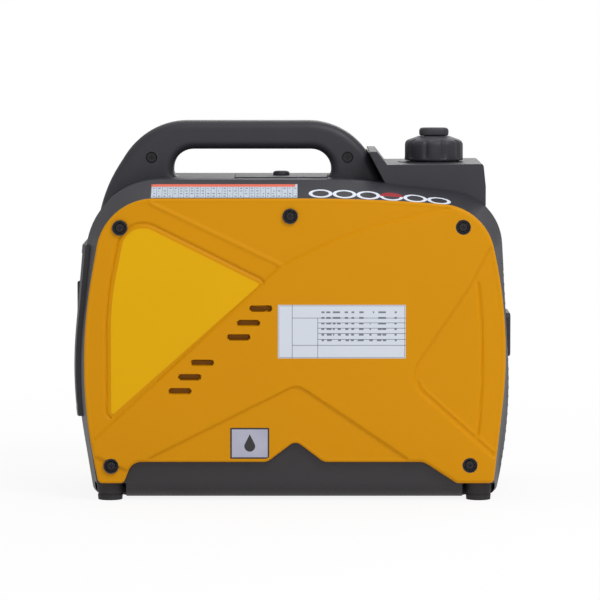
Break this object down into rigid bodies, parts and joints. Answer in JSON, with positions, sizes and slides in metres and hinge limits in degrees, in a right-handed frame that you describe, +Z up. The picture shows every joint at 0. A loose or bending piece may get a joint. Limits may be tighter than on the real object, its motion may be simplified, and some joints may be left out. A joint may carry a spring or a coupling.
{
  "type": "portable generator",
  "caption": "Suitcase inverter generator: black case with top handle and ribbed fuel cap, closed at the sides by large yellow screwed-on covers.",
  "frame": {"origin": "on the floor under the middle of the case, between its four feet", "axes": "+X along the case towards the exhaust end, +Z up, -Y towards the maintenance side cover"},
  "size_m": [0.455, 0.24, 0.3878],
  "materials": {
    "yellow_plastic": "satin moulded",
    "black_plastic": "fine grained moulding",
    "rubber": "matt",
    "trim_plastic": "smooth moulding",
    "red_plastic": "smooth",
    "lamp_plastic": "clear lens",
    "tank_plastic": "blow moulded",
    "steel": "plated",
    "exhaust_steel": "heat dulled",
    "magnet": "coated",
    "copper_winding": "enamelled",
    "brass": "bare",
    "aluminium": "as cast",
    "rope": "braided",
    "foam": "open foam"
  },
  "bodies": {
    "case": {"left_side_cover": "yellow_plastic", "right_side_cover": "yellow_plastic", "housing_left": "black_plastic", "housing_right": "black_plastic", "base_tray": "black_plastic", "rubber_feet": "rubber", "side_cover_screws": "steel", "handle_screws": "steel", "tank_cover": "black_plastic", "fuel_tank": "tank_plastic", "filler_strainer": "tank_plastic", "control_panel": "black_plastic", "ac_outlets": "trim_plastic", "dc_socket": "trim_plastic", "usb_socket": "trim_plastic", "breaker_body": "trim_plastic", "indicator_lights": "lamp_plastic", "earth_terminal": "brass", "inverter_unit": "aluminium", "rear_grille": "black_plastic", "exhaust_surround": "black_plastic", "muffler": "exhaust_steel", "exhaust_pipe": "exhaust_steel", "spark_arrester": "exhaust_steel", "muffler_bracket": "steel", "heat_shield": "steel", "crankcase": "aluminium", "crankcase_cover": "aluminium", "bearings": "steel", "cylinder": "aluminium", "rocker_cover": "aluminium", "spark_plug": "steel", "plug_cap": "rubber", "ignition_coil": "trim_plastic", "stator": "copper_winding", "fan_shroud": "black_plastic", "recoil_housing": "black_plastic", "rope_guide": "trim_plastic", "carburettor": "aluminium", "air_cleaner_case": "black_plastic", "filter_foam": "foam", "engine_mounts": "rubber"},
    "plug_lid": {"spark_plug_lid": "black_plastic"},
    "plug_lid_knob": {"spark_plug_lid_knob": "black_plastic"},
    "cap_seal": {"cap_gasket": "rubber"},
    "cap": {"fuel_cap": "black_plastic"},
    "vent": {"vent_knob": "black_plastic"},
    "button": {"breaker_button": "red_plastic"},
    "engine_switch": {"engine_switch_knob": "trim_plastic"},
    "eco_switch": {"eco_rocker": "trim_plastic"},
    "crank": {"crankshaft": "steel", "fan_flywheel": "aluminium", "rotor_magnets": "magnet"},
    "cam": {"camshaft": "steel"},
    "pulley": {"recoil_pulley": "trim_plastic", "wound_rope": "rope"},
    "grip": {"starter_grip": "trim_plastic", "starter_rope": "rope"},
    "throttle": {"throttle_valve": "trim_plastic"},
    "oil_cap": {"oil_filler_cap": "trim_plastic"}
  },
  "joints": [
    {"name": "plug_lid_lift", "type": "slide", "parent": "case", "child": "plug_lid", "axis": [0, 0, 1], "range_m": [0, 0.018]},
    {"name": "plug_lid_knob_turn", "type": "hinge", "parent": "plug_lid", "child": "plug_lid_knob", "pos_m": [-0.013, 0, 0.33], "axis": [0, 0, 1], "range_deg": [0, 90]},
    {"name": "fuel_cap_lift", "type": "slide", "parent": "case", "child": "cap_seal", "axis": [0, 0, 1], "range_m": [0, 0.08]},
    {"name": "fuel_cap_turn", "type": "hinge", "parent": "cap_seal", "child": "cap", "pos_m": [0.1475, 0, 0.355], "axis": [0, 0, 1], "range_deg": [0, 360]},
    {"name": "vent_knob_turn", "type": "hinge", "parent": "cap", "child": "vent", "pos_m": [0.1475, 0, 0.37], "axis": [0, 0, 1], "range_deg": [0, 90]},
    {"name": "breaker_press", "type": "slide", "parent": "case", "child": "button", "axis": [1, 0, 0], "range_m": [0, 0.002], "stiffness_N_per_m": 300},
    {"name": "engine_switch_turn", "type": "hinge", "parent": "case", "child": "engine_switch", "pos_m": [-0.2135, -0.046, 0.202], "axis": [1, 0, 0], "range_deg": [0, 90]},
    {"name": "eco_switch_rock", "type": "hinge", "parent": "case", "child": "eco_switch", "pos_m": [-0.2095, 0.006, 0.186], "axis": [0, 1, 0], "range_deg": [0, 16]},
    {"name": "crank_spin", "type": "hinge", "parent": "case", "child": "crank", "pos_m": [0, 0, 0.124], "axis": [1, 0, 0], "continuous": true},
    {"name": "cam_spin", "type": "hinge", "parent": "case", "child": "cam", "pos_m": [0, 0, 0.0865], "axis": [1, 0, 0], "continuous": true},
    {"name": "starter_pull", "type": "slide", "parent": "case", "child": "grip", "axis": [0, 1, 0], "range_m": [0, 0.65], "stiffness_N_per_m": 12, "springref_m": -0.5},
    {"name": "starter_pulley_turn", "type": "hinge", "parent": "case", "child": "pulley", "pos_m": [-0.134, 0, 0.124], "axis": [1, 0, 0], "range_deg": [-728, 0]},
    {"name": "throttle_turn", "type": "hinge", "parent": "case", "child": "throttle", "pos_m": [-0.01, -0.06, 0.234], "axis": [0, 0, 1], "range_deg": [0, 75]},
    {"name": "oil_cap_turn", "type": "hinge", "parent": "case", "child": "oil_cap", "pos_m": [-0.01, -0.064, 0.084], "axis": [0, -1, 0], "range_deg": [0, 360]}
  ],
  "couplings": [
    {"joint": "cam_spin", "follows": "crank_spin", "ratio": -0.5},
    {"joint": "starter_pulley_turn", "follows": "starter_pull", "rad_per_m": -19.531}
  ]
}
